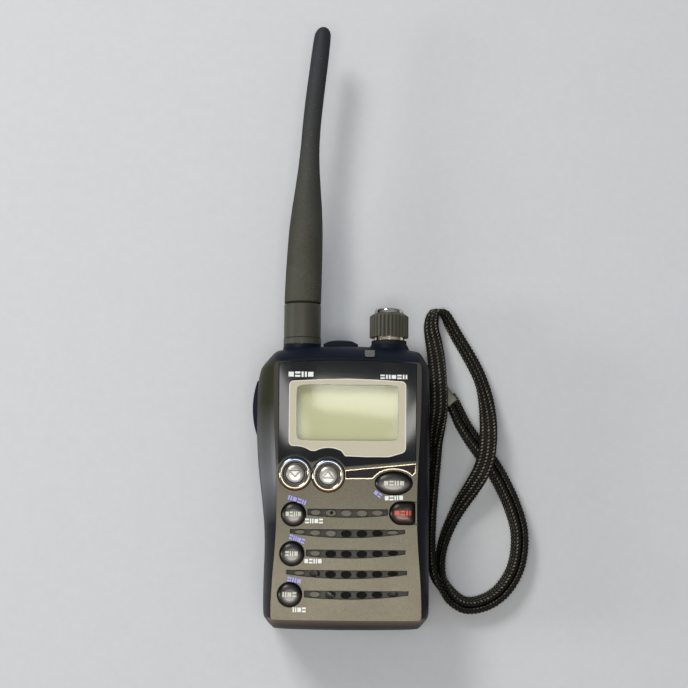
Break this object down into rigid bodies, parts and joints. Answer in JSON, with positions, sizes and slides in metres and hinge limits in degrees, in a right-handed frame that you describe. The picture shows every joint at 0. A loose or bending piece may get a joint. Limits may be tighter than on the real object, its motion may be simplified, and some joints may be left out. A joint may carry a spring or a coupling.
{
  "type": "handheld two-way radio",
  "caption": "Compact handheld two-way radio with whip antenna, tuning dial, press keys, talk bar, sliding battery pack, jack flap and braided wrist strap.",
  "frame": {"origin": "on the battery pack's flat back face, at the middle of the casing's width and height", "axes": "+X to the wrist strap's side, +Y towards the antenna's tip, +Z out of the display"},
  "size_m": [0.0804, 0.1767, 0.0289],
  "materials": {
    "front_shell": "dark warm grey paint with fine metallic grain",
    "rear_shell": "fine black texture",
    "pack_shell": "fine black texture",
    "lens": "polished, printed from behind",
    "display": "reflective yellow-green liquid crystal",
    "display_frame": "moulded, off-white",
    "bright_trim": "bright plated",
    "gloss_trim": "gloss black inlay",
    "light_pipe": "milky light guide",
    "silver_key": "silver lacquer",
    "black_key": "gloss black, domed",
    "soft_black": "satin rubber",
    "antenna_rubber": "matt rubber sheath",
    "collar_rubber": "satin moulded collar",
    "dial_rubber": "dark olive-grey fluted grip",
    "olive_rubber": "satin olive-grey flap",
    "gold": "gold plated",
    "copper": "bare wire",
    "steel": "plain",
    "board": "green solder mask",
    "connector": "cream moulding",
    "speaker_cone": "pressed frame and cone",
    "felt": "thin felt",
    "silicone": "translucent grey silicone",
    "cell_wrap": "shrink wrap",
    "braid": "black braid with khaki flecks",
    "ferrule": "satin grey-olive"
  },
  "bodies": {
    "radio": {"front_case": "front_shell", "rear_case": "rear_shell", "display_lens": "lens", "lcd_panel": "display", "lcd_holder": "display_frame", "trim_ring": "bright_trim", "trim_strip": "bright_trim", "trim_inlay": "gloss_trim", "status_light_pipe": "light_pipe", "speaker": "speaker_cone", "speaker_felt": "felt", "microphone": "steel", "microphone_boot": "soft_black", "logic_board": "board", "main_board": "board", "board_connector": "connector", "shield_cans": "steel", "dome_switches": "steel", "keypad_membrane": "silicone", "antenna_jack": "gold", "antenna_jack_nut": "steel", "encoder_body": "steel", "encoder_nut": "steel", "dial_seal": "soft_black", "headset_jack": "soft_black", "side_switch_board": "board", "case_gasket": "soft_black", "case_screws": "steel", "board_screws": "steel", "battery_terminals": "gold", "strap_post": "steel", "wrist_strap": "braid", "strap_ferrule": "ferrule", "strap_lanyard": "braid"},
    "dial": {"dial_grip": "dial_rubber", "dial_cap": "bright_trim", "dial_ring": "bright_trim", "dial_shaft": "steel"},
    "down_button": {"down_key": "silver_key"},
    "up_button": {"up_key": "silver_key"},
    "call_button": {"call_key": "black_key"},
    "memory_button": {"memory_key": "black_key"},
    "squelch_button": {"squelch_key": "black_key"},
    "band_button": {"band_key": "black_key"},
    "power_button": {"power_key": "black_key"},
    "talk_button": {"ptt_button": "soft_black"},
    "antenna_carrier": {"antenna_seal": "collar_rubber"},
    "antenna": {"antenna_collar": "collar_rubber", "antenna_sheath": "antenna_rubber", "antenna_coil": "copper", "antenna_plug": "gold"},
    "battery_pack": {"battery_case": "pack_shell", "battery_lid": "pack_shell", "battery_cell": "cell_wrap", "battery_board": "board", "battery_contacts": "gold"},
    "release_catch": {"battery_release": "soft_black"},
    "jack_flap": {"jack_cover": "olive_rubber"}
  },
  "joints": [
    {"name": "dial_turn", "type": "hinge", "parent": "radio", "child": "dial", "pos_m": [0.0119, 0.047, 0.015], "axis": [0, 1, 0], "continuous": true},
    {"name": "down_press", "type": "slide", "parent": "radio", "child": "down_button", "axis": [0, 0, -1], "range_m": [0, 0.0005], "stiffness_N_per_m": 1500},
    {"name": "up_press", "type": "slide", "parent": "radio", "child": "up_button", "axis": [0, 0, -1], "range_m": [0, 0.0005], "stiffness_N_per_m": 1500},
    {"name": "call_press", "type": "slide", "parent": "radio", "child": "call_button", "axis": [0, 0, -1], "range_m": [0, 0.0005], "stiffness_N_per_m": 1500},
    {"name": "memory_press", "type": "slide", "parent": "radio", "child": "memory_button", "axis": [0, 0, -1], "range_m": [0, 0.0005], "stiffness_N_per_m": 1500},
    {"name": "squelch_press", "type": "slide", "parent": "radio", "child": "squelch_button", "axis": [0, 0, -1], "range_m": [0, 0.0005], "stiffness_N_per_m": 1500},
    {"name": "band_press", "type": "slide", "parent": "radio", "child": "band_button", "axis": [0, 0, -1], "range_m": [0, 0.0005], "stiffness_N_per_m": 1500},
    {"name": "power_press", "type": "slide", "parent": "radio", "child": "power_button", "axis": [0, 0, -1], "range_m": [0, 0.0005], "stiffness_N_per_m": 1500},
    {"name": "talk_press", "type": "slide", "parent": "radio", "child": "talk_button", "axis": [1, 0, 0], "range_m": [0, 0.0008], "stiffness_N_per_m": 1500},
    {"name": "antenna_rise", "type": "slide", "parent": "radio", "child": "antenna_carrier", "axis": [0, 1, 0], "range_m": [0, 0.0039]},
    {"name": "antenna_turn", "type": "hinge", "parent": "antenna_carrier", "child": "antenna", "pos_m": [-0.0133, 0.048, 0.015], "axis": [0, 1, 0], "range_deg": [0, 1980]},
    {"name": "pack_slide", "type": "slide", "parent": "radio", "child": "battery_pack", "axis": [0, -1, 0], "range_m": [0, 0.066]},
    {"name": "release_press", "type": "slide", "parent": "battery_pack", "child": "release_catch", "axis": [1, 0, 0], "range_m": [0, 0.0008], "stiffness_N_per_m": 1000},
    {"name": "jack_flap_hinge", "type": "hinge", "parent": "radio", "child": "jack_flap", "pos_m": [-0.0021, 0.0406, 0.0106], "axis": [-1, 0, 0], "range_deg": [0, 110]}
  ],
  "couplings": [
    {"joint": "antenna_rise", "follows": "antenna_turn", "m_per_rad": 0.00011229}
  ]
}
